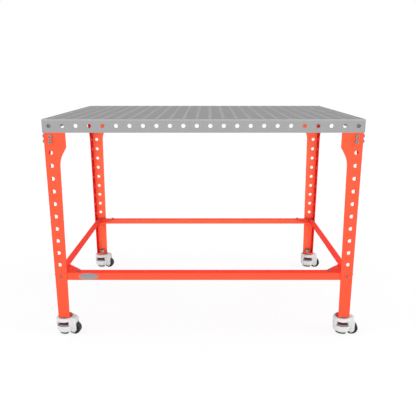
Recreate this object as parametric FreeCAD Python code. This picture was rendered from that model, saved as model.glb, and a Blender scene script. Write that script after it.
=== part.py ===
import FreeCAD, Part
import math
import os

# Welding fixture table on levelling casters. Millimetres, +Z up.
# The origin is the middle of the work surface. The front of the table faces -Y.

# Table top
top_length = 1219.2
top_depth = 812.8
top_sheet = 4.7625
top_edge_round = 1.5
skirt_sheet = 4.7625
skirt_height = 50.8        # work surface to the skirt's lower edge
hole_pitch = 50.8
hole_diameter = 15.875
rib_sheet = 4.7625
rib_height = 38.1
rib_rows_apart = 4         # hole rows between the two ribs

# Corner brackets, welded inside the skirts and bolted inside the legs
bracket_sheet = 4.7625
bracket_width = 43.0
bracket_drop = 49.5        # below the skirt's lower edge
bracket_bend = 3.0
bracket_sight_hole = 22.0

# Legs, bent from one sheet
leg_sheet = 3.0
leg_bend = 2.5
leg_length = 767.2
leg_head_width = 83.8
leg_head_drop = 56.5
leg_slant = 30.0
leg_knee_width = 56.8
leg_knee_radius = 100.0
leg_foot_width = 47.1
leg_open_holes = 10
leg_first_hole = 76.2      # below the leg's upper end
leg_hole_inset = 25.4      # from the outer faces of the top

# Lower frame
stringer_size = 31.75
stringer_sheet = 3.0
stringer_bend = 1.5
stringer_end_relief = 3.0
mitre_gap = 0.4
gusset_sheet = 3.0
gusset_reach = 107.0
gusset_nose = 28.5
gusset_bolt_inset = 38.75
gusset_bolt_pitch = 50.8

# Foot plates
foot_plate_sheet = 4.7625
foot_plate_chamfer = 17.0
foot_plate_relief = 3.0
stem_inset = 25.4          # from the outer faces of the top

# Fasteners
leg_bolt_inset = 29.0      # from the outer faces of the top
leg_bolt_drop = 15.0       # below the leg's upper end
leg_bolt_pitch = 20.0
leg_bolt_diameter = 9.525
leg_bolt_head = 14.3
leg_bolt_head_height = 9.5
leg_bolt_socket = 7.9
leg_nut_flats = 14.3
leg_nut_height = 8.3
frame_bolt_diameter = 6.35
frame_bolt_head = 9.5
frame_bolt_head_height = 6.35
frame_bolt_socket = 4.8
frame_nut_flats = 11.1
frame_nut_height = 5.6
bolt_head_chamfer = 0.8
bolt_past_nut = 2.0
bolt_hole_gap = 0.2
stem_nut_flats = 24.0
stem_nut_height = 13.0

# Levelling casters
caster_height = 80.0
caster_yaw = -9.0          # all four trail to +X, turned a little to the front
stem_diameter = 16.0
stem_flange = 58.0
stem_flange_sheet = 3.0
spigot_diameter = 20.0
collar_diameter = 26.0
collar_sheet = 2.5
run_gap = 0.3              # faces that turn or slide past each other
bore_gap = 0.05            # radial clearance of a running fit
press_gap = 0.02
bell_radius = 38.5
bell_top_wall = 6.2
bell_shoulder = 8.0
bell_foot_radius = 29.5
bell_height = 63.5
chamber_radius = 30.0
shelf_sheet = 4.5
pad_chamber_radius = 26.5
window_half_angle = 41.0
window_top_drop = 17.0
window_ledge = 3.0
window_sill = 4.0
wheel_diameter = 51.0
wheel_width = 25.0
wheel_crown = 4.0
wheel_recess = 3.0
wheel_rim = 6.0
wheel_hub_diameter = 18.0
axle_offset = 39.4
axle_diameter = 8.0
axle_head = 11.0
axle_head_height = 1.8
wheel_arch_gap = 2.5
cheek_sheet = 5.2
cheek_reach = 11.5         # past the axle, away from the stem
cheek_lift = 9.0           # lower tips above the floor
cheek_edge_round = 3.0
cheek_bend_drop = 6.5      # below the axle, where the outer edge leans in
cheek_bend_round = 12.0
cheek_toe = 10.0           # from the outer edge in to the near end of the tip
cheek_toe_round = 5.0
cheek_heel = 16.0          # from the outer edge in to the far end of the tip
cheek_heel_round = 4.0
cheek_instep = 19.5        # from the outer edge in to where the underside begins
cheek_instep_rise = 5.0
cheek_root = 10.0          # how far the fork reaches into the bell's foot
cheek_root_rise = 4.0
cheek_boss = 14.0
cheek_boss_height = 1.2
cheek_hole = 4.0
cheek_hole_drop = 10.0     # below the axle
hood_wall = 6.0
hood_round = 14.0
thumbwheel_radius = 29.0
thumbwheel_height = 11.5
thumbwheel_room_above = 2.0
thumbwheel_room_below = 2.5
thumbwheel_hub = 28.0
thumbwheel_notches = 18
thumbwheel_notch_radius = 2.2
screw_diameter = 12.0
foot_radius = 23.5
foot_height = 10.5
foot_boss_diameter = 20.0
foot_flat = 12.5           # from the stem's axis to the side next to the wheel
pad_radius = 27.0
pad_flat = 15.5
pad_height = 7.0
pad_lift = 5.0             # above the floor, fully raised
pad_edge_round = 1.5

# Heights and places that follow from the sizes above
skirt_hole_drop = skirt_height / 2
leg_top = -skirt_height
leg_bottom = leg_top - leg_length
leg_inset = skirt_sheet - leg_sheet
stringer_bolt_z = leg_top - leg_first_hole - leg_open_holes * hole_pitch
stringer_top = stringer_bolt_z + stringer_size / 2 - 0.4
half_length = top_length / 2
half_depth = top_depth / 2
corners = [("front_left", -1, -1), ("front_right", 1, -1),
           ("rear_left", -1, 1), ("rear_right", 1, 1)]

# Heights inside a caster, from the underside of its foot plate
housing_top = -stem_flange_sheet - run_gap
chamber_top = housing_top - bell_top_wall
collar_bottom = chamber_top - run_gap - collar_sheet
thumbwheel_hub_top = collar_bottom - run_gap
window_top = -window_top_drop
thumbwheel_top = window_top - thumbwheel_room_above
thumbwheel_bottom = thumbwheel_top - thumbwheel_height
shelf_top = thumbwheel_bottom - thumbwheel_room_below
shelf_bottom = shelf_top - shelf_sheet
housing_bottom = housing_top - bell_height
axle_z = -caster_height + wheel_diameter / 2
slot_half_width = wheel_width / 2 + 1.5
cheek_face = slot_half_width + cheek_sheet
pad_bottom = -caster_height + pad_lift
pad_top = pad_bottom + pad_height
foot_top = pad_top + foot_height


def vec(x, y, z=0.0):
    return FreeCAD.Vector(x, y, z)


def box(x0, x1, y0, y1, z0, z1):
    return Part.makeBox(x1 - x0, y1 - y0, z1 - z0, vec(x0, y0, z0))


def rod(radius, start, end):
    along = end - start
    return Part.makeCylinder(radius, along.Length, start, along)


def disc(radius, z0, z1, x=0.0, y=0.0):
    return rod(radius, vec(x, y, z0), vec(x, y, z1))


def hexagon(flats, height, base, along):
    """A hexagonal prism from base along a unit vector."""
    side = vec(0, 0, 1) if abs(along.z) < 0.5 else vec(1, 0, 0)
    across = along.cross(side)
    reach = flats / math.sqrt(3)
    ring = []
    for i in range(6):
        turn = math.radians(60 * i + 30)
        ring.append(base + side * (reach * math.cos(turn)) + across * (reach * math.sin(turn)))
    ring.append(ring[0])
    return Part.Face(Part.makePolygon(ring)).extrude(along * height)


def prism(points, along):
    """Extrude a closed outline. A pair (middle, end) in it is an arc."""
    edges = []
    here = points[0]
    for step in points[1:] + [points[0]]:
        if isinstance(step, tuple):
            edges.append(Part.Arc(here, step[0], step[1]).toShape())
            here = step[1]
        elif (step - here).Length > 1e-6:
            edges.append(Part.LineSegment(here, step).toShape())
            here = step
    return Part.Face(Part.Wire(edges)).extrude(along)


def rounded(points, radii):
    """A closed outline whose corners are tangent arcs. A corner with radius 0 stays sharp."""
    outline = []
    for i, corner in enumerate(points):
        if radii[i] == 0:
            outline.append(corner)
            continue
        back = (points[i - 1] - corner).normalize()
        ahead = (points[(i + 1) % len(points)] - corner).normalize()
        half_angle = back.getAngle(ahead) / 2
        reach = radii[i] / math.tan(half_angle)
        inward = (back + ahead).normalize()
        middle = corner + inward * (radii[i] / math.sin(half_angle) - radii[i])
        outline.append(corner + back * reach)
        outline.append((middle, corner + ahead * reach))
    return outline


def turned(points):
    """Revolve a closed (radius, height) outline about the Z axis."""
    ring = []
    for step in points:
        if isinstance(step[0], tuple):
            ring.append(tuple(vec(r, 0, z) for r, z in step))
        else:
            ring.append(vec(step[0], 0, step[1]))
    edges = []
    here = ring[0]
    for step in ring[1:] + [ring[0]]:
        if isinstance(step, tuple):
            edges.append(Part.Arc(here, step[0], step[1]).toShape())
            here = step[1]
        elif (step - here).Length > 1e-6:
            edges.append(Part.LineSegment(here, step).toShape())
            here = step
    face = Part.Face(Part.Wire(edges))
    return face.revolve(vec(0, 0, 0), vec(0, 0, 1), 360)


def joined(shapes):
    return shapes[0].fuse(shapes[1:]).removeSplitter()


def place_in_corner(shape, side_x, side_y):
    """Mirror a front left piece into another corner."""
    if side_x > 0:
        shape = shape.mirror(vec(0, 0, 0), vec(1, 0, 0))
    if side_y > 0:
        shape = shape.mirror(vec(0, 0, 0), vec(0, 1, 0))
    return shape


def save(name, shapes):
    if not isinstance(shapes, list):
        shapes = [shapes]
    solids = [solid for shape in shapes for solid in shape.Solids]
    whole = solids[0] if len(solids) == 1 else Part.makeCompound(solids)
    whole.exportStep("parts/" + name + ".step")


def hole_line(length):
    """Places of a row of holes, centred on a span."""
    count = int(length / hole_pitch + 0.01)
    return [(i - (count - 1) / 2) * hole_pitch for i in range(count)]


def perforated(length, width, holes, sheet):
    """A flat sheet in XY, centred, with its upper face at Z 0."""
    outer = Part.makePlane(length, width, vec(-length / 2, -width / 2, -sheet)).OuterWire
    wires = [outer]
    for x, y in holes:
        circle = Part.makeCircle(hole_diameter / 2, vec(x, y, -sheet))
        wires.append(Part.Wire(circle))
    face = Part.Face(wires, "Part::FaceMakerBullseye")
    return face.extrude(vec(0, 0, sheet))


def upper_rim(shape):
    """The straight edges round the upper face."""
    edges = []
    for edge in shape.Edges:
        level = all(abs(v.Z) < 1e-6 for v in edge.Vertexes)
        if level and len(edge.Vertexes) == 2 and edge.Curve.TypeId == "Part::GeomLine":
            edges.append(edge)
    return edges


def top_plate():
    holes = [(x, y) for x in hole_line(top_length) for y in hole_line(top_depth)]
    sheet = perforated(top_length, top_depth, holes, top_sheet)
    return sheet.makeFillet(top_edge_round, upper_rim(sheet))


def skirt(length, column_span):
    """A skirt lying flat, its length along X, with one row of holes."""
    height = skirt_height - top_sheet
    row = skirt_hole_drop - top_sheet - height / 2
    holes = [(x, -row) for x in hole_line(column_span)]
    return perforated(length, height, holes, skirt_sheet)


def long_skirt(side_y):
    shape = skirt(top_length, top_length)
    shape.rotate(vec(0, 0, 0), vec(1, 0, 0), 90)
    shape.translate(vec(0, -half_depth, -(skirt_height + top_sheet) / 2))
    return place_in_corner(shape, -1, side_y)


def short_skirt(side_x):
    shape = skirt(top_depth - 2 * skirt_sheet, top_depth)
    shape.rotate(vec(0, 0, 0), vec(1, 0, 0), 90)
    shape.rotate(vec(0, 0, 0), vec(0, 0, 1), -90)
    shape.translate(vec(-half_length, 0, -(skirt_height + top_sheet) / 2))
    return place_in_corner(shape, side_x, -1)


def top_rib(side_y):
    reach = half_length - skirt_sheet
    y = side_y * rib_rows_apart / 2 * hole_pitch
    z = -top_sheet
    return box(-reach, reach, y - rib_sheet / 2, y + rib_sheet / 2, z - rib_height, z)


def bent_angle(x, y, width, sheet, bend, z0, z1):
    """An upright angle whose outer faces meet at (x, y), opening to +X and +Y."""
    r_out = bend + sheet
    lean_out = r_out * (1 - math.sqrt(0.5))
    lean_in = sheet + bend * (1 - math.sqrt(0.5))
    outline = [
        vec(x + r_out, y, z0),
        vec(x + width, y, z0),
        vec(x + width, y + sheet, z0),
        vec(x + r_out, y + sheet, z0),
        (vec(x + lean_in, y + lean_in, z0), vec(x + sheet, y + r_out, z0)),
        vec(x + sheet, y + width, z0),
        vec(x, y + width, z0),
        vec(x, y + r_out, z0),
        (vec(x + lean_out, y + lean_out, z0), vec(x + r_out, y, z0)),
    ]
    return prism(outline, vec(0, 0, z1 - z0))


def corner_bracket():
    x = -half_length + skirt_sheet
    y = -half_depth + skirt_sheet
    shape = bent_angle(x, y, bracket_width, bracket_sheet, bracket_bend,
                       leg_top - bracket_drop, -top_sheet)
    sight_x = hole_line(top_length)[0]
    sight_y = hole_line(top_depth)[0]
    radius = bracket_sight_hole / 2
    cuts = [rod(radius, vec(sight_x, y - 1, -skirt_hole_drop), vec(sight_x, y + 12, -skirt_hole_drop)),
            rod(radius, vec(x - 1, sight_y, -skirt_hole_drop), vec(x + 12, sight_y, -skirt_hole_drop))]
    return shape.cut(cuts + leg_bolt_holes())


def leg_bolt_places():
    """Base point under the head and direction of each bolt at the top of a leg."""
    places = []
    for i in range(2):
        z = leg_top - leg_bolt_drop - i * leg_bolt_pitch
        front = vec(-half_length + leg_bolt_inset, -half_depth + leg_inset, z)
        side = vec(-half_length + leg_inset, -half_depth + leg_bolt_inset, z)
        places.append((front, vec(0, 1, 0)))
        places.append((side, vec(1, 0, 0)))
    return places


def stringer_bolt_places():
    x = -half_length + leg_hole_inset
    y = -half_depth + leg_hole_inset
    front = vec(x, -half_depth + leg_inset, stringer_bolt_z)
    side = vec(-half_length + leg_inset, y, stringer_bolt_z)
    return [(front, vec(0, 1, 0)), (side, vec(1, 0, 0))]


def gusset_bolt_places():
    """Two bolts down through each stringer's upper flange and the gusset beneath it."""
    places = []
    z = stringer_top
    line = stringer_size / 2
    for i in range(2):
        reach = gusset_bolt_inset + i * gusset_bolt_pitch
        for u, v in ((reach, line), (line, reach)):
            x = -half_length + skirt_sheet + u
            y = -half_depth + skirt_sheet + v
            places.append((vec(x, y, z), vec(0, 0, -1)))
    return places


def bolt_holes(places, diameter, depth):
    radius = diameter / 2 + bolt_hole_gap
    return [rod(radius, base - along, base + along * depth) for base, along in places]


def leg_bolt_holes():
    return bolt_holes(leg_bolt_places(), leg_bolt_diameter, 15.0)


def frame_bolt_holes():
    places = stringer_bolt_places() + gusset_bolt_places()
    return bolt_holes(places, frame_bolt_diameter, 10.0)


def flange_outline():
    """Width of a leg flange against height: head, slant, knee arc and taper."""
    tan_slant = math.tan(math.radians(leg_slant))
    knee_drop = leg_head_drop + (leg_head_width - leg_knee_width) / tan_slant
    taper = math.atan2(leg_knee_width - leg_foot_width, leg_length - knee_drop)
    turn = math.radians(leg_slant) - taper
    tangent = leg_knee_radius * math.tan(turn / 2)
    knee_z = leg_top - knee_drop
    slant = math.radians(leg_slant)
    start = (leg_knee_width + tangent * math.sin(slant), knee_z + tangent * math.cos(slant))
    end = (leg_knee_width - tangent * math.sin(taper), knee_z - tangent * math.cos(taper))
    centre = (start[0] + leg_knee_radius * math.cos(slant), start[1] - leg_knee_radius * math.sin(slant))
    half_way = (slant + taper) / 2
    middle = (centre[0] - leg_knee_radius * math.cos(half_way),
              centre[1] + leg_knee_radius * math.sin(half_way))
    return start, middle, end


def flange_prism(to_point, along):
    start, middle, end = flange_outline()
    outline = [
        to_point(-1.0, leg_top),
        to_point(leg_head_width, leg_top),
        to_point(leg_head_width, leg_top - leg_head_drop),
        to_point(*start),
        (to_point(*middle), to_point(*end)),
        to_point(leg_foot_width, leg_bottom),
        to_point(-1.0, leg_bottom),
    ]
    return prism(outline, along)


def leg():
    x = -half_length + leg_inset
    y = -half_depth + leg_inset
    reach = leg_head_width + 2
    angle = bent_angle(x, y, leg_head_width, leg_sheet, leg_bend, leg_bottom, leg_top)
    front = flange_prism(lambda u, z: vec(x + u, y - 1, z), vec(0, reach, 0))
    side = flange_prism(lambda u, z: vec(x - 1, y + u, z), vec(reach, 0, 0))
    shape = angle.common(front).common(side)
    cuts = leg_bolt_holes() + bolt_holes(stringer_bolt_places(), frame_bolt_diameter, 10.0)
    column_x = -half_length + leg_hole_inset
    column_y = -half_depth + leg_hole_inset
    for i in range(leg_open_holes):
        z = leg_top - leg_first_hole - i * hole_pitch
        radius = hole_diameter / 2
        cuts.append(rod(radius, vec(column_x, y - 1, z), vec(column_x, y + leg_sheet + 1, z)))
        cuts.append(rod(radius, vec(x - 1, column_y, z), vec(x + leg_sheet + 1, column_y, z)))
    return shape.cut(cuts)


def foot_plate():
    """Square plate welded in the foot of a leg, bored for the caster's stem."""
    x = -half_length + skirt_sheet
    y = -half_depth + skirt_sheet
    side = leg_foot_width - leg_sheet
    c = foot_plate_chamfer
    r = foot_plate_relief
    z = leg_bottom
    outline = [vec(x + r, y, z), vec(x + side, y, z), vec(x + side, y + side - c, z),
               vec(x + side - c, y + side, z), vec(x, y + side, z), vec(x, y + r, z)]
    shape = prism(outline, vec(0, 0, foot_plate_sheet))
    stem = vec(-half_length + stem_inset, -half_depth + stem_inset, z)
    radius = stem_diameter / 2 + bolt_hole_gap
    return shape.cut(rod(radius, stem - vec(0, 0, 1), stem + vec(0, 0, foot_plate_sheet + 1)))


def angle_bar(length):
    """A stringer along X, its corner edge on the X axis, flanges down and to +Y."""
    size = stringer_size
    sheet = stringer_sheet
    r_out = stringer_bend + sheet
    lean_out = r_out * (1 - math.sqrt(0.5))
    lean_in = sheet + stringer_bend * (1 - math.sqrt(0.5))
    x = -length / 2
    outline = [
        vec(x, r_out, 0),
        vec(x, size, 0),
        vec(x, size, -sheet),
        vec(x, r_out, -sheet),
        (vec(x, lean_in, -lean_in), vec(x, sheet, -r_out)),
        vec(x, sheet, -size),
        vec(x, 0, -size),
        vec(x, 0, -r_out),
        (vec(x, lean_out, -lean_out), vec(x, r_out, 0)),
    ]
    return prism(outline, vec(length, 0, 0))


def mitred_bar(span):
    """Angle bar cut at 45 degrees at both ends, clear of the bends of the legs."""
    bar = angle_bar(span)
    half = span / 2 - mitre_gap / 2
    deep = stringer_size + 1
    plan = [vec(-half - 1, -1, -stringer_size - 1), vec(half + 1, -1, -stringer_size - 1),
            vec(half - deep, deep, -stringer_size - 1), vec(-half + deep, deep, -stringer_size - 1)]
    wedge = prism(plan, vec(0, 0, stringer_size + 2))
    clear = span / 2 - stringer_end_relief
    return bar.common(wedge).common(box(-clear, clear, -1, deep, -stringer_size - 1, 1))


def long_stringer(side_y):
    bar = mitred_bar(top_length - 2 * skirt_sheet)
    bar.translate(vec(0, -half_depth + skirt_sheet, stringer_top))
    cuts = frame_bolt_holes()
    cuts = cuts + [hole.mirror(vec(0, 0, 0), vec(1, 0, 0)) for hole in cuts]
    return place_in_corner(bar.cut(cuts), -1, side_y)


def short_stringer(side_x):
    bar = mitred_bar(top_depth - 2 * skirt_sheet)
    bar.rotate(vec(0, 0, 0), vec(0, 0, 1), -90)
    bar.translate(vec(-half_length + skirt_sheet, 0, stringer_top))
    cuts = frame_bolt_holes()
    cuts = cuts + [hole.mirror(vec(0, 0, 0), vec(0, 1, 0)) for hole in cuts]
    return place_in_corner(bar.cut(cuts), side_x, -1)


def gusset():
    """Plate under the upper flanges of two stringers, clear of the bends inside them."""
    x = -half_length + skirt_sheet
    y = -half_depth + skirt_sheet
    edge = stringer_sheet + stringer_bend + run_gap
    z = stringer_top - stringer_sheet - gusset_sheet
    outline = [vec(x + edge, y + edge, z), vec(x + gusset_reach, y + edge, z),
               vec(x + gusset_reach, y + gusset_nose, z), vec(x + gusset_nose, y + gusset_reach, z),
               vec(x + edge, y + gusset_reach, z)]
    return prism(outline, vec(0, 0, gusset_sheet)).cut(frame_bolt_holes())


def cap_screw(base, along, diameter, head, head_height, socket, length):
    """A socket cap screw. base is under the head and the shank runs along."""
    shank = rod(diameter / 2, base, base + along * length)
    end = base - along * head_height
    cap = rod(head / 2, base, end)
    rim = [edge for edge in cap.Edges
           if edge.Curve.TypeId == "Part::GeomCircle" and (edge.Curve.Center - end).Length < 0.01]
    cap = cap.makeChamfer(bolt_head_chamfer, rim)
    return joined([shank, cap]).cut(hexagon(socket, head_height / 2, end, along))


def nut(base, along, flats, height, bore):
    body = hexagon(flats, height, base, along)
    return body.cut(rod(bore / 2 + press_gap, base - along, base + along * (height + 1)))


def leg_fasteners():
    grip = leg_sheet + bracket_sheet
    bolts = []
    nuts = []
    for base, along in leg_bolt_places():
        bolts.append(cap_screw(base, along, leg_bolt_diameter, leg_bolt_head, leg_bolt_head_height,
                               leg_bolt_socket, grip + leg_nut_height + bolt_past_nut))
        nuts.append(nut(base + along * grip, along, leg_nut_flats, leg_nut_height, leg_bolt_diameter))
    return bolts, nuts


def frame_fasteners():
    bolts = []
    nuts = []
    grips = [(place, leg_sheet + stringer_sheet) for place in stringer_bolt_places()]
    grips += [(place, gusset_sheet + stringer_sheet) for place in gusset_bolt_places()]
    for (base, along), grip in grips:
        bolts.append(cap_screw(base, along, frame_bolt_diameter, frame_bolt_head, frame_bolt_head_height,
                               frame_bolt_socket, grip + frame_nut_height + bolt_past_nut))
        nuts.append(nut(base + along * grip, along, frame_nut_flats, frame_nut_height, frame_bolt_diameter))
    return bolts, nuts


def caster_stem():
    """Threaded stud, swivel flange, and the riveted spigot that carries the housing."""
    stud_top = foot_plate_sheet + stem_nut_height + bolt_past_nut
    return joined([
        disc(stem_diameter / 2, 0, stud_top),
        disc(stem_flange / 2, -stem_flange_sheet, 0),
        disc(spigot_diameter / 2, collar_bottom, -stem_flange_sheet),
        disc(collar_diameter / 2, collar_bottom, collar_bottom + collar_sheet),
    ])


def housing_bell():
    """The seam of the revolved faces is turned away from the fork."""
    shoulder = bell_shoulder
    lean = shoulder * (1 - math.sqrt(0.5))
    step_z = shelf_top - window_sill - 1.0
    waist = bell_radius - 1.6
    hip_z = housing_bottom + 16
    hip_middle = ((waist + bell_foot_radius) / 2 + 2.4, housing_bottom + 5.5)
    bell = turned([
        (0, housing_top),
        (bell_radius - shoulder, housing_top),
        ((bell_radius - lean, housing_top - lean), (bell_radius, housing_top - shoulder)),
        (bell_radius, step_z),
        (waist, step_z - 1.6),
        (waist, hip_z),
        (hip_middle, (bell_foot_radius, housing_bottom)),
        (0, housing_bottom),
    ])
    bell.rotate(vec(0, 0, 0), vec(0, 0, 1), 180)
    return bell


def housing_fork():
    """Hood and cheeks over the wheel, drawn from the side and extruded across."""
    y = -cheek_face
    right = axle_offset + cheek_reach
    tip_z = -caster_height + cheek_lift
    inside = bell_foot_radius - cheek_root
    root_z = housing_bottom + cheek_root_rise
    points = [vec(0, y, housing_top), vec(right, y, housing_top), vec(right, y, axle_z - cheek_bend_drop),
              vec(right - cheek_toe, y, tip_z), vec(right - cheek_heel, y, tip_z),
              vec(right - cheek_instep, y, tip_z + cheek_instep_rise),
              vec(inside, y, root_z), vec(0, y, root_z)]
    radii = [0, hood_round, cheek_bend_round, cheek_toe_round, cheek_heel_round, cheek_heel_round, 0, 0]
    shape = prism(rounded(points, radii), vec(0, 2 * cheek_face, 0))
    rims = [edge for edge in shape.Edges
            if all(abs(abs(v.Y) - cheek_face) < 1e-6 for v in edge.Vertexes)
            and abs(edge.Vertexes[0].Y - edge.Vertexes[-1].Y) < 1e-6
            and max(v.X for v in edge.Vertexes) > 1]
    return shape.makeFillet(cheek_edge_round, rims)


def window_cut(side_y):
    """The pocket that shows the thumbwheel, with a sunk sill along its outer edge."""
    turn = math.radians(window_half_angle)
    reach = (bell_radius + 5) / math.cos(turn)
    fan = [vec(0, 0), vec(reach * math.sin(turn), side_y * reach * math.cos(turn)),
           vec(-reach * math.sin(turn), side_y * reach * math.cos(turn))]
    opening = prism([p + vec(0, 0, shelf_top) for p in fan], vec(0, 0, window_top - shelf_top))
    sill = prism([p + vec(0, 0, shelf_top - window_sill) for p in fan], vec(0, 0, window_sill))
    core = disc(chamber_radius + window_ledge, shelf_top - window_sill - 1, shelf_top + 1)
    return [opening, sill.cut(core)]


def wheel_arch():
    """Room for the wheel: round over its top, open below and at the back, hollow under the hood."""
    radius = wheel_diameter / 2 + wheel_arch_gap
    half = slot_half_width
    across = vec(0, 2 * half, 0)
    low = -caster_height - 5
    slot = prism([
        vec(axle_offset - radius, -half, low),
        vec(axle_offset - radius, -half, axle_z),
        (vec(axle_offset, -half, axle_z + radius), vec(axle_offset + radius, -half, axle_z)),
        vec(axle_offset + radius, -half, low),
    ], across)
    inner = chamber_radius + 4.0
    outer = axle_offset + cheek_reach - hood_wall
    hollow_top = housing_top - hood_wall
    plan = [vec(inner, -half, axle_z), vec(inner, -half, hollow_top),
            vec(outer, -half, hollow_top), vec(outer, -half, axle_z)]
    hollow = prism(rounded(plan, [0, 0, hood_round - hood_wall, 0]), across)
    return [slot, hollow]


def caster_housing():
    bosses = []
    for side in (-1, 1):
        face = side * cheek_face
        bosses.append(rod(cheek_boss / 2, vec(axle_offset, face - side * 2, axle_z),
                          vec(axle_offset, face + side * cheek_boss_height, axle_z)))
    body = joined([housing_bell(), housing_fork()] + bosses)
    reach = cheek_face + cheek_boss_height + 1
    cuts = [
        disc(chamber_radius, shelf_top, chamber_top),
        disc(spigot_diameter / 2 + bore_gap, chamber_top - 1, housing_top + 1),
        disc(screw_diameter / 2 + 2 * bore_gap, shelf_bottom - 1, shelf_top + 1),
        disc(pad_chamber_radius, housing_bottom - 1, shelf_bottom),
        rod(axle_diameter / 2 + press_gap,
            vec(axle_offset, -reach, axle_z), vec(axle_offset, reach, axle_z)),
        rod(cheek_hole / 2,
            vec(axle_offset, -reach, axle_z - cheek_hole_drop),
            vec(axle_offset, reach, axle_z - cheek_hole_drop)),
    ]
    cuts += window_cut(-1) + window_cut(1) + wheel_arch()
    return body.cut(cuts)


def caster_wheel():
    """One-piece wheel with a crowned tread, sunk sides and a long hub."""
    half = wheel_width / 2
    radius = wheel_diameter / 2
    hub = wheel_hub_diameter / 2
    hub_half = slot_half_width - run_gap
    bore = axle_diameter / 2 + bore_gap
    web = half - wheel_recess
    shape = turned([
        (bore, -hub_half),
        (hub, -hub_half),
        (hub, -web),
        (radius - wheel_rim, -web),
        (radius - wheel_rim + 1, -half),
        (radius - wheel_crown, -half),
        ((radius - 1.2, -half + 1.2), (radius, -half + wheel_crown)),
        (radius, half - wheel_crown),
        ((radius - 1.2, half - 1.2), (radius - wheel_crown, half)),
        (radius - wheel_rim + 1, half),
        (radius - wheel_rim, web),
        (hub, web),
        (hub, hub_half),
        (bore, hub_half),
    ])
    shape.rotate(vec(0, 0, 0), vec(1, 0, 0), 90)
    shape.translate(vec(axle_offset, 0, axle_z))
    return shape


def caster_axle():
    face = cheek_face + cheek_boss_height
    centre = vec(axle_offset, 0, axle_z)
    pin = rod(axle_diameter / 2, centre - vec(0, face, 0), centre + vec(0, face, 0))
    heads = []
    for side in (-1, 1):
        heads.append(rod(axle_head / 2, centre + vec(0, side * face, 0),
                         centre + vec(0, side * (face + axle_head_height), 0)))
    return joined([pin] + heads)


def caster_thumbwheel():
    rim = disc(thumbwheel_radius, thumbwheel_bottom, thumbwheel_top)
    hub = disc(thumbwheel_hub / 2, shelf_top + run_gap, thumbwheel_hub_top)
    cuts = [disc(screw_diameter / 2 + bore_gap, shelf_top - 1, thumbwheel_hub_top + 1)]
    for i in range(thumbwheel_notches):
        turn = 2 * math.pi * (i + 0.5) / thumbwheel_notches
        x = thumbwheel_radius * math.cos(turn)
        y = thumbwheel_radius * math.sin(turn)
        cuts.append(disc(thumbwheel_notch_radius, thumbwheel_bottom - 1, thumbwheel_top + 1, x, y))
    return joined([rim, hub]).cut(cuts)


def flat_sided(radius, flat, z0, z1):
    """A disc with one side cut flat where the wheel passes."""
    return disc(radius, z0, z1).cut(box(flat, radius + 1, -radius - 1, radius + 1, z0 - 1, z1 + 1))


def caster_foot():
    """Screw and foot in one piece, the flat side next to the wheel. The boss stops it under the shelf."""
    screw_top = thumbwheel_hub_top - run_gap
    return joined([disc(screw_diameter / 2, foot_top, screw_top),
                   disc(foot_boss_diameter / 2, foot_top, shelf_bottom - run_gap),
                   flat_sided(foot_radius, foot_flat, pad_top, foot_top)])


def caster_pad():
    pad = flat_sided(pad_radius, pad_flat, pad_bottom, pad_top)
    lower = [edge for edge in pad.Edges if all(abs(v.Z - pad_bottom) < 1e-6 for v in edge.Vertexes)]
    return pad.makeFillet(pad_edge_round, lower)


def stem_nut():
    base = vec(0, 0, foot_plate_sheet)
    return nut(base, vec(0, 0, 1), stem_nut_flats, stem_nut_height, stem_diameter)


def save_casters():
    """The four casters are equal copies, all turned the same way."""
    pieces = {"stem": caster_stem(), "housing": caster_housing(), "axle": caster_axle(),
              "wheel": caster_wheel(), "thumbwheel": caster_thumbwheel(),
              "foot": caster_foot(), "pad": caster_pad()}
    nuts = []
    for corner, side_x, side_y in corners:
        place = vec(side_x * (half_length - stem_inset), side_y * (half_depth - stem_inset), leg_bottom)
        for piece, shape in pieces.items():
            copy = shape.copy()
            copy.rotate(vec(0, 0, 0), vec(0, 0, 1), caster_yaw)
            copy.translate(place)
            save("caster_" + corner + "_" + piece, copy)
        fixed = stem_nut()
        fixed.translate(place)
        nuts.append(fixed)
    save("stem_nuts", nuts)


def save_corners():
    """Everything that is the same in each corner, mirrored from the front left one."""
    pieces = {"leg": leg(), "foot_plate": foot_plate(), "corner_bracket": corner_bracket(),
              "gusset": gusset()}
    leg_bolts, leg_nuts = leg_fasteners()
    frame_bolts, frame_nuts = frame_fasteners()
    groups = {"leg_bolts": leg_bolts, "leg_nuts": leg_nuts,
              "frame_bolts": frame_bolts, "frame_nuts": frame_nuts}
    gathered = {name: [] for name in groups}
    for corner, side_x, side_y in corners:
        for piece, shape in pieces.items():
            save(piece + "_" + corner, place_in_corner(shape, side_x, side_y))
        for name, shapes in groups.items():
            gathered[name] += [place_in_corner(shape, side_x, side_y) for shape in shapes]
    for name, shapes in gathered.items():
        save(name, shapes)


def save_top_and_frame():
    save("top_plate", top_plate())
    for name, side in (("front", -1), ("rear", 1)):
        save("skirt_" + name, long_skirt(side))
        save("rib_" + name, top_rib(side))
        save("stringer_" + name, long_stringer(side))
    for name, side in (("left", -1), ("right", 1)):
        save("skirt_" + name, short_skirt(side))
        save("stringer_" + name, short_stringer(side))


os.makedirs("parts", exist_ok=True)
save_top_and_frame()
save_corners()
save_casters()
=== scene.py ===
import math

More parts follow.
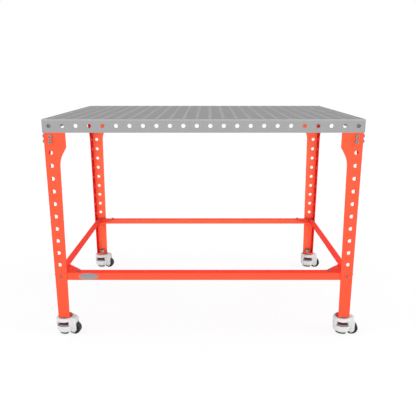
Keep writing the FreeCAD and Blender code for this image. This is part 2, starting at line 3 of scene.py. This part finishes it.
import bpy
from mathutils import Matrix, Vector


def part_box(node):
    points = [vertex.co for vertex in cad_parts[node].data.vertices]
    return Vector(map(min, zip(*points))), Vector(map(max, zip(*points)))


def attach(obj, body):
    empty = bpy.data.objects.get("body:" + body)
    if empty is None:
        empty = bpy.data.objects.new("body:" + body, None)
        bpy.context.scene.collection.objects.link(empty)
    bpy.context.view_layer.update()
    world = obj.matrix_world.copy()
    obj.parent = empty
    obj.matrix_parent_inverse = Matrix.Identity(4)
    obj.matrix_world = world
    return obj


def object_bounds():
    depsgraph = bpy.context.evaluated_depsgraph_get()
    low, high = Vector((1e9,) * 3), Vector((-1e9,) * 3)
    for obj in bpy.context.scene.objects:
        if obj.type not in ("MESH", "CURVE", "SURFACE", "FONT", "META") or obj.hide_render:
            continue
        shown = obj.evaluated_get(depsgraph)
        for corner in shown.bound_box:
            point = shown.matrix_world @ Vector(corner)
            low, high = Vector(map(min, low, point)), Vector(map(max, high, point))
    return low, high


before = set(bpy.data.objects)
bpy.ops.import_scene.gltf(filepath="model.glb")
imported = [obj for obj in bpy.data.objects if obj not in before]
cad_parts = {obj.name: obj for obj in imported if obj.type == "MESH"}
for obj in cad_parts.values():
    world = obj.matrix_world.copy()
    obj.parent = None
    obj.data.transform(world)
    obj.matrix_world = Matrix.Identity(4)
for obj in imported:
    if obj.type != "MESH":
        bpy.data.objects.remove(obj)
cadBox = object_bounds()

print("frame loaded:", len(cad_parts), "nodes")

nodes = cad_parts
cornerNames = ["front_left", "front_right", "rear_left", "rear_right"]


# shared effects, built once as node groups

def newGroup(name, inputs, outputs):
    group = bpy.data.node_groups.new(name, "ShaderNodeTree")
    for label, kind, value in inputs:
        socket = group.interface.new_socket(name=label, in_out="INPUT", socket_type=kind)
        if value is not None:
            socket.default_value = value
    for label, kind in outputs:
        group.interface.new_socket(name=label, in_out="OUTPUT", socket_type=kind)
    return group, group.nodes.new("NodeGroupInput"), group.nodes.new("NodeGroupOutput")


def joinNodes(tree, source, output, target, socket):
    tree.links.new(source.outputs[output], target.inputs[socket])


def mathNode(tree, operation, first=None, second=None):
    node = tree.nodes.new("ShaderNodeMath")
    node.operation = operation
    for slotIndex, value in enumerate((first, second)):
        if value is None:
            continue
        if isinstance(value, (int, float)):
            node.inputs[slotIndex].default_value = value
        else:
            tree.links.new(value, node.inputs[slotIndex])
    return node


def makeCloudGroup():  # broad soft patches: handling marks, uneven coating
    group, start, end = newGroup("cloudiness",
                                 [("Vector", "NodeSocketVector", None), ("Size", "NodeSocketFloat", 8.0),
                                  ("Contrast", "NodeSocketFloat", 0.5)],
                                 [("Value", "NodeSocketFloat")])
    noise = group.nodes.new("ShaderNodeTexNoise")
    noise.inputs["Detail"].default_value = 4
    noise.inputs["Roughness"].default_value = 0.55
    joinNodes(group, start, "Vector", noise, "Vector")
    joinNodes(group, start, "Size", noise, "Scale")
    centred = mathNode(group, "SUBTRACT", noise.outputs["Fac"], 0.5)
    scaled = mathNode(group, "MULTIPLY", centred.outputs[0])
    joinNodes(group, start, "Contrast", scaled, 1)
    shifted = mathNode(group, "ADD", scaled.outputs[0], 0.5)
    shifted.use_clamp = True
    joinNodes(group, shifted, 0, end, "Value")
    return group


def makeBrushGroup():  # long fine scratches along one direction
    group, start, end = newGroup("brushing",
                                 [("Vector", "NodeSocketVector", None),
                                  ("Stretch", "NodeSocketVector", (20.0, 900.0, 900.0))],
                                 [("Height", "NodeSocketFloat")])
    mapping = group.nodes.new("ShaderNodeMapping")
    joinNodes(group, start, "Vector", mapping, "Vector")
    joinNodes(group, start, "Stretch", mapping, "Scale")
    noise = group.nodes.new("ShaderNodeTexNoise")
    noise.inputs["Scale"].default_value = 1.0
    noise.inputs["Detail"].default_value = 3
    joinNodes(group, mapping, "Vector", noise, "Vector")
    joinNodes(group, noise, "Fac", end, "Height")
    return group


def makePeelGroup():  # the slight orange peel of powder coat, or the skin of a casting
    group, start, end = newGroup("peel",
                                 [("Vector", "NodeSocketVector", None), ("Size", "NodeSocketFloat", 500.0)],
                                 [("Height", "NodeSocketFloat")])
    noise = group.nodes.new("ShaderNodeTexNoise")
    noise.inputs["Detail"].default_value = 2
    noise.inputs["Roughness"].default_value = 0.4
    joinNodes(group, start, "Vector", noise, "Vector")
    joinNodes(group, start, "Size", noise, "Scale")
    joinNodes(group, noise, "Fac", end, "Height")
    return group


speckLimits = {"from": 0.62, "sharpness": 8.0}


def makeSpeckGroup(limits):  # sparse small specks of dust or wear
    group, start, end = newGroup("specks",
                                 [("Vector", "NodeSocketVector", None), ("Size", "NodeSocketFloat", 120.0),
                                  ("Amount", "NodeSocketFloat", 0.3)],
                                 [("Mask", "NodeSocketFloat")])
    noise = group.nodes.new("ShaderNodeTexNoise")
    noise.inputs["Detail"].default_value = 5
    noise.inputs["Roughness"].default_value = 0.7
    joinNodes(group, start, "Vector", noise, "Vector")
    joinNodes(group, start, "Size", noise, "Scale")
    above = mathNode(group, "SUBTRACT", noise.outputs["Fac"], limits["from"])
    sharper = mathNode(group, "MULTIPLY", above.outputs[0], limits["sharpness"])
    sharper.use_clamp = True
    weighed = mathNode(group, "MULTIPLY", sharper.outputs[0])
    joinNodes(group, start, "Amount", weighed, 1)
    joinNodes(group, weighed, 0, end, "Mask")
    return group


facingLimits = {
    "turned": 0.6,         # how far a normal leans before its face counts as turned that way
    "turnedOut": 0.3,
    "edgeReach": 0.6044,   # from the middle to the free edges of the legs' side flanges
    "lowPerMetre": 1.2,
}


# masks by where a face looks, by the legs' free edges and by depth below the top, which place painted light
# and shade
def makeFacingGroup(limits):
    group, start, end = newGroup("facing",
                                 [("Vector", "NodeSocketVector", None), ("Normal", "NodeSocketVector", None)],
                                 [("Inwards", "NodeSocketFloat"), ("Outwards", "NodeSocketFloat"),
                                  ("Across", "NodeSocketFloat"), ("Edges", "NodeSocketFloat"),
                                  ("Upwards", "NodeSocketFloat"), ("Low", "NodeSocketFloat")])
    place = group.nodes.new("ShaderNodeSeparateXYZ")
    facing = group.nodes.new("ShaderNodeSeparateXYZ")
    joinNodes(group, start, "Vector", place, 0)
    joinNodes(group, start, "Normal", facing, 0)
    side = mathNode(group, "SIGN", place.outputs["X"])
    sideways = mathNode(group, "MULTIPLY", side.outputs[0], facing.outputs["X"])
    inwards = mathNode(group, "LESS_THAN", sideways.outputs[0], -limits["turned"])
    outwards = mathNode(group, "GREATER_THAN", sideways.outputs[0], limits["turnedOut"])
    half = mathNode(group, "SIGN", place.outputs["Y"])
    lengthways = mathNode(group, "MULTIPLY", half.outputs[0], facing.outputs["Y"])
    across = mathNode(group, "LESS_THAN", lengthways.outputs[0], -limits["turned"])
    upwards = mathNode(group, "GREATER_THAN", facing.outputs["Z"], limits["turned"])
    joinNodes(group, inwards, 0, end, "Inwards")
    joinNodes(group, outwards, 0, end, "Outwards")
    joinNodes(group, across, 0, end, "Across")
    reach = mathNode(group, "ABSOLUTE", place.outputs["X"])
    outer = mathNode(group, "GREATER_THAN", reach.outputs[0], limits["edgeReach"])
    edges = mathNode(group, "MULTIPLY", across.outputs[0], outer.outputs[0])
    joinNodes(group, edges, 0, end, "Edges")
    joinNodes(group, upwards, 0, end, "Upwards")
    low = mathNode(group, "MULTIPLY", place.outputs["Z"], -limits["lowPerMetre"])
    low.use_clamp = True
    joinNodes(group, low, 0, end, "Low")
    return group


def makeCoreGroup():  # a mask of what lies inside a caster's bell, at the height of its windows, where painted shade goes
    group, start, end = newGroup("core",
                                 [("Vector", "NodeSocketVector", None),
                                  ("Stem", "NodeSocketVector", (0.5, 0.4, 0.0)),
                                  ("Radius", "NodeSocketFloat", 0.04), ("Top", "NodeSocketFloat", 0.0),
                                  ("Bottom", "NodeSocketFloat", -1.0)],
                                 [("Mask", "NodeSocketFloat")])
    quarter = group.nodes.new("ShaderNodeVectorMath")
    quarter.operation = "ABSOLUTE"
    joinNodes(group, start, "Vector", quarter, 0)
    offset = group.nodes.new("ShaderNodeVectorMath")
    offset.operation = "SUBTRACT"
    joinNodes(group, quarter, 0, offset, 0)
    joinNodes(group, start, "Stem", offset, 1)
    flat = group.nodes.new("ShaderNodeVectorMath")
    flat.operation = "MULTIPLY"
    flat.inputs[1].default_value = (1.0, 1.0, 0.0)
    joinNodes(group, offset, 0, flat, 0)
    reach = group.nodes.new("ShaderNodeVectorMath")
    reach.operation = "LENGTH"
    joinNodes(group, flat, 0, reach, 0)
    within = mathNode(group, "LESS_THAN", reach.outputs["Value"])
    joinNodes(group, start, "Radius", within, 1)
    place = group.nodes.new("ShaderNodeSeparateXYZ")
    joinNodes(group, start, "Vector", place, 0)
    below = mathNode(group, "LESS_THAN", place.outputs["Z"])
    joinNodes(group, start, "Top", below, 1)
    above = mathNode(group, "GREATER_THAN", place.outputs["Z"])
    joinNodes(group, start, "Bottom", above, 1)
    band = mathNode(group, "MULTIPLY", below.outputs[0], above.outputs[0])
    mask = mathNode(group, "MULTIPLY", band.outputs[0], within.outputs[0])
    joinNodes(group, mask, 0, end, "Mask")
    return group


def makeBorderGroup():  # a mask of what lies outside a rectangle, such as the cut edges of a plate
    group, start, end = newGroup("border",
                                 [("Vector", "NodeSocketVector", None),
                                  ("Half length", "NodeSocketFloat", 0.5),
                                  ("Half depth", "NodeSocketFloat", 0.5)],
                                 [("Mask", "NodeSocketFloat")])
    place = group.nodes.new("ShaderNodeSeparateXYZ")
    joinNodes(group, start, "Vector", place, 0)
    past = []
    for axis, size in (("X", "Half length"), ("Y", "Half depth")):
        reach = mathNode(group, "ABSOLUTE", place.outputs[axis])
        beyond = mathNode(group, "GREATER_THAN", reach.outputs[0])
        joinNodes(group, start, size, beyond, 1)
        past.append(beyond.outputs[0])
    mask = mathNode(group, "MAXIMUM", past[0], past[1])
    joinNodes(group, mask, 0, end, "Mask")
    return group


facingGroup = makeFacingGroup(facingLimits)
borderGroup = makeBorderGroup()
coreGroup = makeCoreGroup()
cloudGroup = makeCloudGroup()
brushGroup = makeBrushGroup()
peelGroup = makePeelGroup()
speckGroup = makeSpeckGroup(speckLimits)
print("shared effects built")


# materials

def startMaterial(name, finish):
    material = bpy.data.materials.new(name)
    material.use_nodes = True
    tree = material.node_tree
    shader = tree.nodes["Principled BSDF"]
    coords = tree.nodes.new("ShaderNodeTexCoord")
    shader.inputs["Metallic"].default_value = finish.get("metallic", 0.0)
    shader.inputs["Roughness"].default_value = finish["roughness"]
    shader.inputs["Specular IOR Level"].default_value = finish.get("specular", 0.5)
    return material, tree, shader, coords


def placeGroup(tree, group, coords, **values):
    node = tree.nodes.new("ShaderNodeGroup")
    node.node_tree = group
    tree.links.new(coords.outputs["Object"], node.inputs["Vector"])
    for label, value in values.items():
        node.inputs[label].default_value = value
    return node


def mixColours(tree, factor, first, second):
    mix = tree.nodes.new("ShaderNodeMix")
    mix.data_type = "RGBA"
    tree.links.new(factor, mix.inputs["Factor"])
    for label, value in (("A", first), ("B", second)):
        socket = next(s for s in mix.inputs if s.name == label and s.type == "RGBA")
        if isinstance(value, tuple):
            socket.default_value = value + (1.0,)
        else:
            tree.links.new(value, socket)
    return next(s for s in mix.outputs if s.type == "RGBA")


def rangeNode(tree, value, low, high):
    node = tree.nodes.new("ShaderNodeMapRange")
    node.inputs["To Min"].default_value = low
    node.inputs["To Max"].default_value = high
    tree.links.new(value, node.inputs["Value"])
    return node.outputs["Result"]


def addBump(tree, shader, height, strength, distance):
    bump = tree.nodes.new("ShaderNodeBump")
    bump.inputs["Strength"].default_value = strength
    bump.inputs["Distance"].default_value = distance
    tree.links.new(height, bump.inputs["Height"])
    tree.links.new(bump.outputs["Normal"], shader.inputs["Normal"])


surfaceSettings = {
    "coatedRougher": 0.08, "coatedSmoother": 0.05, "peelDepth": 0.0004,
    "brushedRougher": 0.1, "brushedSmoother": 0.08, "brushDepth": 0.0002,
}


def coatedFinish(name, finish):  # powder coat, castings, mouldings
    material, tree, shader, coords = startMaterial(name, finish)
    cloud = placeGroup(tree, cloudGroup, coords, Size=finish["patchSize"], Contrast=finish["patchContrast"])
    colour = mixColours(tree, cloud.outputs["Value"], finish["colour"], finish["secondColour"])
    specks = placeGroup(tree, speckGroup, coords, Size=finish["speckSize"], Amount=finish["speckAmount"])
    colour = mixColours(tree, specks.outputs["Mask"], colour, finish["speckColour"])
    if "paintedLightShadeTints" in finish:  # painted light and shade: tints by direction and place stand in for lighting
        facing = placeGroup(tree, facingGroup, coords)
        tree.links.new(coords.outputs["Normal"], facing.inputs["Normal"])
        for label, (tint, share) in finish["paintedLightShadeTints"].items():
            part = mathNode(tree, "MULTIPLY", facing.outputs[label], share)
            colour = mixColours(tree, part.outputs[0], colour, tint)
    if "core" in finish:  # painted shade: darker inside at the windows, where little light reaches
        core = placeGroup(tree, coreGroup, coords, **finish["core"])
        colour = mixColours(tree, core.outputs["Mask"], colour, finish["coreColour"])
    tree.links.new(colour, shader.inputs["Base Color"])
    low = finish["roughness"] - surfaceSettings["coatedSmoother"]
    high = finish["roughness"] + surfaceSettings["coatedRougher"]
    tree.links.new(rangeNode(tree, cloud.outputs["Value"], low, high), shader.inputs["Roughness"])
    peel = placeGroup(tree, peelGroup, coords, Size=finish["peelSize"])
    addBump(tree, shader, peel.outputs["Height"], finish["peelStrength"], surfaceSettings["peelDepth"])
    return material


def brushedFinish(name, finish):  # bare or plated metal with a scratch direction
    material, tree, shader, coords = startMaterial(name, finish)
    brush = placeGroup(tree, brushGroup, coords, Stretch=finish["stretch"])
    cloud = placeGroup(tree, cloudGroup, coords, Size=finish["patchSize"], Contrast=finish["patchContrast"])
    both = mathNode(tree, "ADD", brush.outputs["Height"], cloud.outputs["Value"])
    half = mathNode(tree, "MULTIPLY", both.outputs[0], 0.5)
    colour = mixColours(tree, half.outputs[0], finish["colour"], finish["secondColour"])
    specks = placeGroup(tree, speckGroup, coords, Size=finish["speckSize"], Amount=finish["speckAmount"])
    colour = mixColours(tree, specks.outputs["Mask"], colour, finish["speckColour"])
    if "paintedLitBoreColour" in finish:  # painted light: bore walls coloured lighter, and a painted highlight on the plate's edge faces
        facing = placeGroup(tree, facingGroup, coords)
        tree.links.new(coords.outputs["Normal"], facing.inputs["Normal"])
        border = placeGroup(tree, borderGroup, coords, **finish["border"])
        paintedLitCuts = mixColours(tree, border.outputs["Mask"], finish["paintedLitBoreColour"], finish["paintedEdgeHighlight"])
        colour = mixColours(tree, facing.outputs["Upwards"], paintedLitCuts, colour)
    tree.links.new(colour, shader.inputs["Base Color"])
    low = finish["roughness"] - surfaceSettings["brushedSmoother"]
    high = finish["roughness"] + surfaceSettings["brushedRougher"]
    tree.links.new(rangeNode(tree, brush.outputs["Height"], low, high), shader.inputs["Roughness"])
    addBump(tree, shader, brush.outputs["Height"], finish["brushStrength"], surfaceSettings["brushDepth"])
    return material


orangePaint = {
    "roughness": 0.5, "specular": 0.03,
    "colour": (1.0, 0.108, 0.051), "secondColour": (0.98, 0.096, 0.045),
    "paintedLightShadeTints": {  # painted light and shade tints and their shares, laid over one another in this order
        # painted shade: deeper red towards the feet, on inward and outward turned sides and on the side
        # flanges' free edges; painted light: lighter on faces turned across to the middle, redder on upward
        # faces
        "Low": ((1.0, 0.062, 0.028), 0.32),
        "Inwards": ((0.72, 0.004, 0.008), 0.94),
        "Outwards": ((0.75, 0.03, 0.02), 0.6),
        "Across": ((1.0, 0.162, 0.078), 1.0),
        "Edges": ((0.72, 0.006, 0.010), 0.9),
        "Upwards": ((1.0, 0.030, 0.024), 0.66),
    },
    "patchSize": 5.0, "patchContrast": 1.2, "speckSize": 160.0, "speckAmount": 0.12,
    "speckColour": (0.75, 0.07, 0.035), "peelSize": 650.0, "peelStrength": 0.18,
}
steelSides = {
    "metallic": 0.12, "roughness": 0.56, "specular": 0.14,
    "colour": (0.196, 0.196, 0.196), "secondColour": (0.232, 0.232, 0.234),
    "stretch": (700.0, 14.0, 700.0), "patchSize": 7.0, "patchContrast": 1.0,
    "speckSize": 220.0, "speckAmount": 0.25, "speckColour": (0.26, 0.26, 0.265), "brushStrength": 0.12,
}
# painted light: the top's bore walls are coloured lighter and its edge faces carry a painted highlight
steelTop = dict(steelSides, paintedLitBoreColour=(0.50, 0.50, 0.50), paintedEdgeHighlight=(0.37, 0.37, 0.37),
                border={"Half length": 0.6092, "Half depth": 0.406})
steelSkirt = dict(steelSides, stretch=(16.0, 16.0, 900.0), colour=(0.277, 0.277, 0.277),
                  secondColour=(0.311, 0.311, 0.313))
steelInner = dict(steelSides, colour=(0.30, 0.30, 0.30), secondColour=(0.36, 0.36, 0.365), roughness=0.55)
platedBolt = {
    "metallic": 0.7, "roughness": 0.38, "specular": 0.5,
    "colour": (0.155, 0.170, 0.167), "secondColour": (0.245, 0.262, 0.258),
    "stretch": (500.0, 500.0, 500.0), "patchSize": 60.0, "patchContrast": 1.4,
    "speckSize": 400.0, "speckAmount": 0.3, "speckColour": (0.10, 0.10, 0.10), "brushStrength": 0.1,
}
# painted light: a lighter copy of the plated finish for the stem nuts, standing in for light that the leg
# around them keeps off
paintedLightBolt = dict(platedBolt, colour=(0.30, 0.32, 0.315), secondColour=(0.42, 0.44, 0.435), metallic=0.5)
darkSteel = dict(platedBolt, colour=(0.12, 0.127, 0.127), secondColour=(0.18, 0.188, 0.188), roughness=0.45,
                 metallic=0.4)
whiteCasting = {
    "roughness": 0.45, "specular": 0.4,
    # the core colour is painted shade inside the caster's windows
    "colour": (0.67, 0.675, 0.675), "secondColour": (0.57, 0.572, 0.578), "coreColour": (0.29, 0.295, 0.30),
    "core": {"Stem": (0.5842, 0.381, 0.0), "Radius": 0.038, "Top": -0.8478, "Bottom": -0.8562},
    "patchSize": 22.0, "patchContrast": 1.0, "speckSize": 300.0, "speckAmount": 0.25,
    "speckColour": (0.45, 0.45, 0.47), "peelSize": 900.0, "peelStrength": 0.35,
}
blackNylon = {
    "roughness": 0.42, "specular": 0.3,
    "colour": (0.011, 0.011, 0.012), "secondColour": (0.024, 0.024, 0.025),
    "patchSize": 40.0, "patchContrast": 1.4, "speckSize": 250.0, "speckAmount": 0.35,
    "speckColour": (0.06, 0.06, 0.058), "peelSize": 1100.0, "peelStrength": 0.25,
}
darkRedPlastic = dict(blackNylon, colour=(0.16, 0.004, 0.010), secondColour=(0.11, 0.003, 0.007),
                      speckColour=(0.22, 0.05, 0.05), roughness=0.35)
blackRubber = dict(blackNylon, colour=(0.014, 0.014, 0.014), secondColour=(0.026, 0.026, 0.026),
                   roughness=0.7)
greyPlate = dict(steelSides, colour=(0.245, 0.245, 0.245), secondColour=(0.288, 0.288, 0.288), metallic=0.2,
                 stretch=(40.0, 900.0, 900.0), patchSize=30.0)

materials = {
    "steelTop": brushedFinish("groundSteelTop", steelTop),
    "steelSkirt": brushedFinish("groundSteelSkirt", steelSkirt),
    "steelInner": brushedFinish("steelUnderTop", steelInner),
    "orange": coatedFinish("orangePowderCoat", orangePaint),
    "plated": brushedFinish("platedFastener", platedBolt),
    "nutPaintedLight": brushedFinish("platedNutPaintedLight", paintedLightBolt),
    "dark": brushedFinish("darkPlatedSteel", darkSteel),
    "white": coatedFinish("whiteCastHousing", whiteCasting),
    "nylon": coatedFinish("blackNylonWheel", blackNylon),
    "red": coatedFinish("darkRedThumbwheel", darkRedPlastic),
    "rubber": coatedFinish("blackRubberPad", blackRubber),
    "plate": brushedFinish("bareOvalPlate", greyPlate),
}
print("materials built:", len(materials))


# finishes of the CAD nodes, by the start or the end of the node's name

finishByName = [
    ("top_plate", "steelTop"), ("skirt_", "steelSkirt"), ("rib_", "steelInner"),
    ("corner_bracket", "steelInner"),
    ("leg_bolts", "plated"), ("leg_nuts", "plated"), ("frame_", "plated"), ("stem_nuts", "nutPaintedLight"),
    ("leg_", "orange"), ("foot_plate", "orange"), ("stringer", "orange"), ("gusset", "orange"),
    ("_stem", "dark"), ("_housing", "white"), ("_axle", "white"), ("_thumbwheel", "red"),
    ("_wheel", "nylon"), ("_foot", "dark"), ("_pad", "rubber"),
]


def finishOf(name):
    for key, label in finishByName:
        if (key.startswith("_") and name.endswith(key)) or (not key.startswith("_") and name.startswith(key)):
            return materials[label]
    return materials["plated"]


for name, node in nodes.items():
    node.data.materials.clear()
    node.data.materials.append(finishOf(name))
print("nodes dressed")


# a bare oval plate on the front stringer

ovalPlate = {"width": 0.081, "height": 0.0285, "thick": 0.0014, "centreX": -0.4705, "rim": 0.0016,
             "rimHeight": 0.0005, "sides": 72, "edgeRound": 0.0004, "edgeSteps": 2, "edgeAngle": 40,
             "smoothAngle": 35, "gap": 0.0003}


def onlySelect(piece):
    bpy.ops.object.select_all(action="DESELECT")
    piece.select_set(True)
    bpy.context.view_layer.objects.active = piece


def makeOvalPlate(sizes):
    low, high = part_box("stringer_front")
    middleZ = (low.z + high.z) / 2
    bpy.ops.object.select_all(action="DESELECT")
    bpy.ops.mesh.primitive_cylinder_add(vertices=sizes["sides"], radius=0.5, depth=1.0)
    plate = bpy.context.object
    plate.name = "oval_plate"
    bpy.ops.object.mode_set(mode="EDIT")
    bpy.ops.mesh.select_all(action="SELECT")
    bpy.ops.transform.resize(value=(sizes["width"], sizes["height"], sizes["thick"]))
    bpy.ops.transform.rotate(value=math.radians(90), orient_axis="X", center_override=(0, 0, 0))
    bpy.ops.transform.translate(
        value=(sizes["centreX"], low.y - sizes["thick"] / 2 - sizes["gap"], middleZ))
    bpy.ops.object.mode_set(mode="OBJECT")
    frontY = min(v.co.y for v in plate.data.vertices)
    bpy.ops.object.mode_set(mode="EDIT")
    bpy.ops.mesh.select_mode(type="FACE")
    bpy.ops.object.mode_set(mode="OBJECT")
    for polygon in plate.data.polygons:
        polygon.select = abs(polygon.center.y - frontY) < 1e-5 and len(polygon.vertices) > 4
    bpy.ops.object.mode_set(mode="EDIT")
    bpy.ops.mesh.inset(thickness=sizes["rim"], depth=0)
    bpy.ops.transform.translate(value=(0, sizes["rimHeight"], 0))  # the field lies below the rim
    bpy.ops.object.mode_set(mode="OBJECT")
    onlySelect(plate)
    bevel = plate.modifiers.new("edge", "BEVEL")
    bevel.width = sizes["edgeRound"]
    bevel.segments = sizes["edgeSteps"]
    bevel.angle_limit = math.radians(sizes["edgeAngle"])
    bpy.ops.object.modifier_apply(modifier="edge")
    bpy.ops.object.shade_smooth_by_angle(angle=math.radians(sizes["smoothAngle"]))
    plate.data.materials.append(materials["plate"])
    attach(plate, "table")


makeOvalPlate(ovalPlate)
print("oval plate made")


# floor, light and camera

studio = {"floorSize": 60.0, "floorShade": 0.95, "shadowShare": 0.14, "ambient": 0.84}
lamps = {  # strength, spread in degrees, direction that it comes from
    "frontLeftLight": (0.60, 16.0, (-0.15, -1.0, 0.05)),
    "frontRightLight": (0.60, 16.0, (0.15, -1.0, 0.05)),
    "rightLight": (1.00, 40.0, (1.0, -0.2, 0.75)),
    "leftLight": (0.65, 40.0, (-1.0, -0.2, 0.75)),
}


def makeFloor(settings):
    floorZ = cadBox[0].z
    shade = settings["floorShade"]
    bpy.ops.object.select_all(action="DESELECT")
    bpy.ops.mesh.primitive_plane_add(size=settings["floorSize"], location=(0, 0, floorZ))
    floor = bpy.context.object
    floor.name = "floor"
    material = bpy.data.materials.new("paleFloor")
    material.use_nodes = True
    tree = material.node_tree
    shader = tree.nodes["Principled BSDF"]
    shader.inputs["Base Color"].default_value = (shade, shade, shade, 1)
    shader.inputs["Roughness"].default_value = 1.0
    shader.inputs["Specular IOR Level"].default_value = 0.0
    white = tree.nodes.new("ShaderNodeEmission")
    white.inputs["Strength"].default_value = 1.0
    path = tree.nodes.new("ShaderNodeLightPath")
    seen = mathNode(tree, "MAXIMUM", path.outputs["Is Camera Ray"], path.outputs["Is Glossy Ray"])
    share = mathNode(tree, "MULTIPLY", seen.outputs[0], 1.0 - settings["shadowShare"])
    mix = tree.nodes.new("ShaderNodeMixShader")
    tree.links.new(share.outputs[0], mix.inputs[0])
    tree.links.new(shader.outputs[0], mix.inputs[1])
    tree.links.new(white.outputs[0], mix.inputs[2])
    tree.links.new(mix.outputs[0], tree.nodes["Material Output"].inputs["Surface"])
    floor.data.materials.append(material)


def makeWorld(settings):
    world = bpy.data.worlds.new("studio")
    bpy.context.scene.world = world
    world.use_nodes = True
    tree = world.node_tree
    soft = tree.nodes["Background"]
    soft.inputs["Color"].default_value = (1, 1, 1, 1)
    soft.inputs["Strength"].default_value = settings["ambient"]
    white = tree.nodes.new("ShaderNodeBackground")
    white.inputs["Color"].default_value = (1, 1, 1, 1)
    white.inputs["Strength"].default_value = 1.0
    path = tree.nodes.new("ShaderNodeLightPath")
    direct = mathNode(tree, "MAXIMUM", path.outputs["Is Camera Ray"], path.outputs["Is Transmission Ray"])
    seen = mathNode(tree, "MAXIMUM", direct.outputs[0], path.outputs["Is Glossy Ray"])
    mix = tree.nodes.new("ShaderNodeMixShader")
    tree.links.new(seen.outputs[0], mix.inputs[0])
    tree.links.new(soft.outputs[0], mix.inputs[1])
    tree.links.new(white.outputs[0], mix.inputs[2])
    tree.links.new(mix.outputs[0], tree.nodes["World Output"].inputs["Surface"])


def makeSun(name, strength, spread, towards):
    lamp = bpy.data.lights.new(name, "SUN")
    lamp.energy = strength
    lamp.angle = math.radians(spread)
    sun = bpy.data.objects.new(name, lamp)
    bpy.context.scene.collection.objects.link(sun)
    sun.rotation_euler = Vector(towards).to_track_quat("Z", "Y").to_euler()
    sun.location = Vector(towards) * 3


makeFloor(studio)
makeWorld(studio)
for lampName, (strength, spread, towards) in lamps.items():
    makeSun(lampName, strength, spread, towards)

viewpoint = {"place": (0.01668, -2.31355, 0.16464), "pitchDown": 14.9592, "lens": 43.488, "sensor": 36.0,
             "nearest": 0.05, "farthest": 200}
lens = bpy.data.cameras.new("camera")
lens.lens = viewpoint["lens"]
lens.sensor_width = viewpoint["sensor"]
lens.clip_start = viewpoint["nearest"]
lens.clip_end = viewpoint["farthest"]
camera = bpy.data.objects.new("camera", lens)
bpy.context.scene.collection.objects.link(camera)
camera.location = viewpoint["place"]
camera.rotation_euler = (math.radians(90 - viewpoint["pitchDown"]), 0, 0)
bpy.context.scene.camera = camera
bpy.context.scene.view_settings.view_transform = "Standard"
print("stage, light and camera set")
